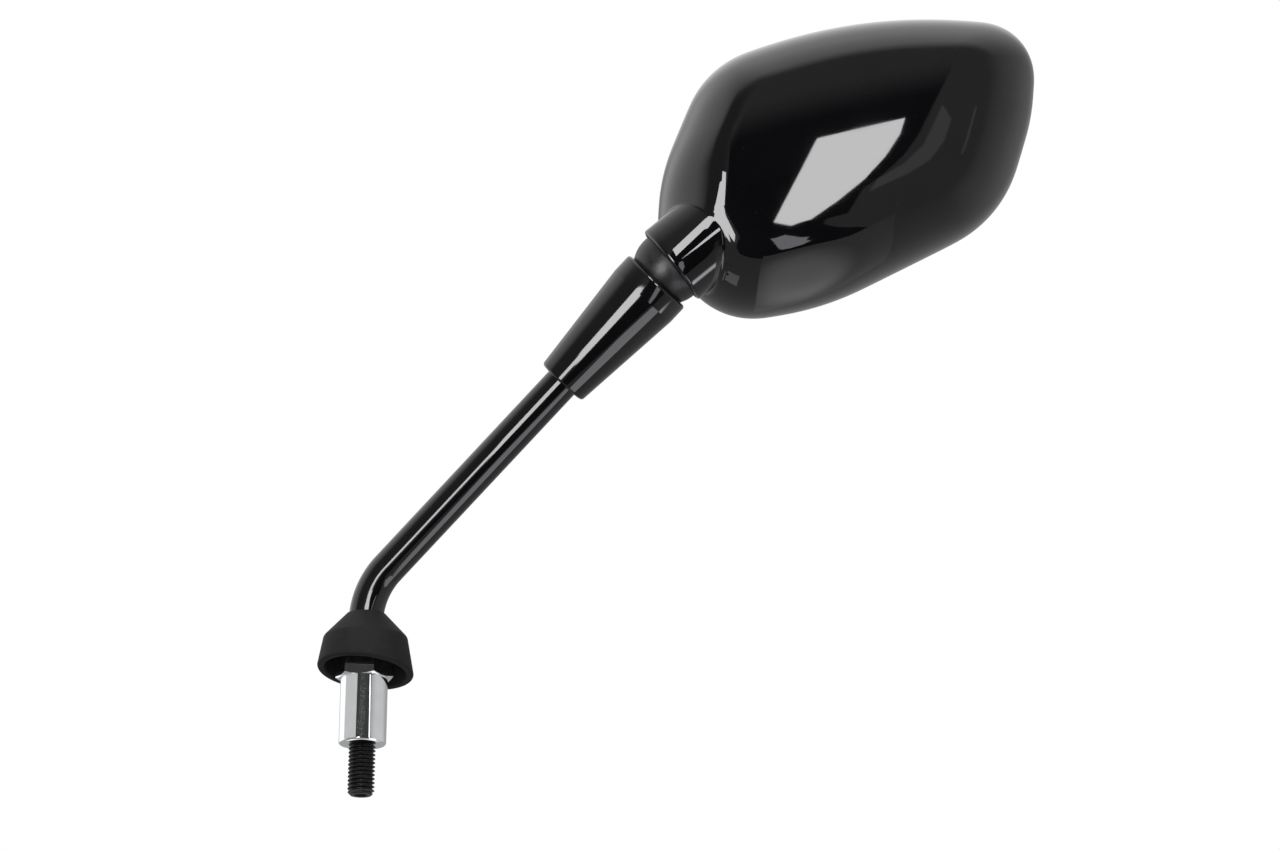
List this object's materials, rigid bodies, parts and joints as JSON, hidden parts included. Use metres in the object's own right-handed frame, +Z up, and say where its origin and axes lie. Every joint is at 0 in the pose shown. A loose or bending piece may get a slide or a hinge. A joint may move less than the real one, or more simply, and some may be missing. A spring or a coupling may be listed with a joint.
{
  "type": "motorcycle mirror",
  "caption": "Left-hand motorcycle mirror: bent black stem on a threaded stud, rubber boot, cone sleeve and a pillow-shaped moulded head that turns on a spring-loaded ball joint",
  "frame": {"origin": "centre of the adapter's lower seat face, on the axis of the mounting stud", "axes": "+Z runs up the stud's axis into the stem, the back of the head faces -Y, the glass faces +Y, and the head stands out to +X"},
  "size_m": [0.2702, 0.1109, 0.2862],
  "materials": {
    "black_oxide_steel": "black oxide",
    "bright_chrome": "bright chrome plate",
    "zinc_steel": "zinc plated",
    "spring_steel": "oiled spring steel",
    "black_paint": "gloss black powder coat",
    "soft_rubber": "matt moulded rubber",
    "sleeve_plastic": "gloss black moulding",
    "ball_plastic": "satin black nylon",
    "seat_plastic": "natural acetal",
    "housing_plastic": "gloss black ABS",
    "plate_plastic": "black moulding",
    "foam_pad": "adhesive foam",
    "silvered_glass": "silvered convex glass"
  },
  "bodies": {
    "base": {"mounting_stud": "black_oxide_steel", "adapter": "bright_chrome"},
    "stem": {"stem": "black_paint", "lock_nut": "zinc_steel", "cone_sleeve": "sleeve_plastic", "swivel_ball": "ball_plastic", "pressure_washer": "zinc_steel", "pivot_spring": "spring_steel", "flat_washer": "zinc_steel", "pivot_nut": "zinc_steel"},
    "boot": {"boot": "soft_rubber"},
    "seat": {"ball_seat": "seat_plastic"},
    "ring": {"dust_ring": "soft_rubber"},
    "head": {"housing": "housing_plastic", "backing_plate": "plate_plastic", "glass_pad": "foam_pad", "mirror_glass": "silvered_glass", "plate_screw_1": "zinc_steel", "plate_screw_2": "zinc_steel", "plate_screw_3": "zinc_steel", "plate_screw_4": "zinc_steel"}
  },
  "joints": [
    {"name": "stem_swivel", "type": "hinge", "parent": "base", "child": "stem", "pos_m": [0, 0, 0], "axis": [0, 0, 1], "range_deg": [-180, 180]},
    {"name": "boot_slide", "type": "slide", "parent": "stem", "child": "boot", "axis": [0, 0, 1], "range_m": [-0.005, 0]},
    {"name": "head_tilt_up", "type": "hinge", "parent": "stem", "child": "seat", "pos_m": [0.11408, -0.04984, 0.17061], "axis": [0.0263, -0.9417, -0.3355], "range_deg": [-2.5, 18.4]},
    {"name": "head_tilt_in", "type": "hinge", "parent": "seat", "child": "ring", "pos_m": [0.11408, -0.04984, 0.17061], "axis": [-0.6286, -0.2765, 0.7269], "range_deg": [-12.6, 3.9]},
    {"name": "head_spin", "type": "hinge", "parent": "ring", "child": "head", "pos_m": [0.11408, -0.04984, 0.17061], "axis": [0.7773, -0.1917, 0.5992], "continuous": true}
  ]
}
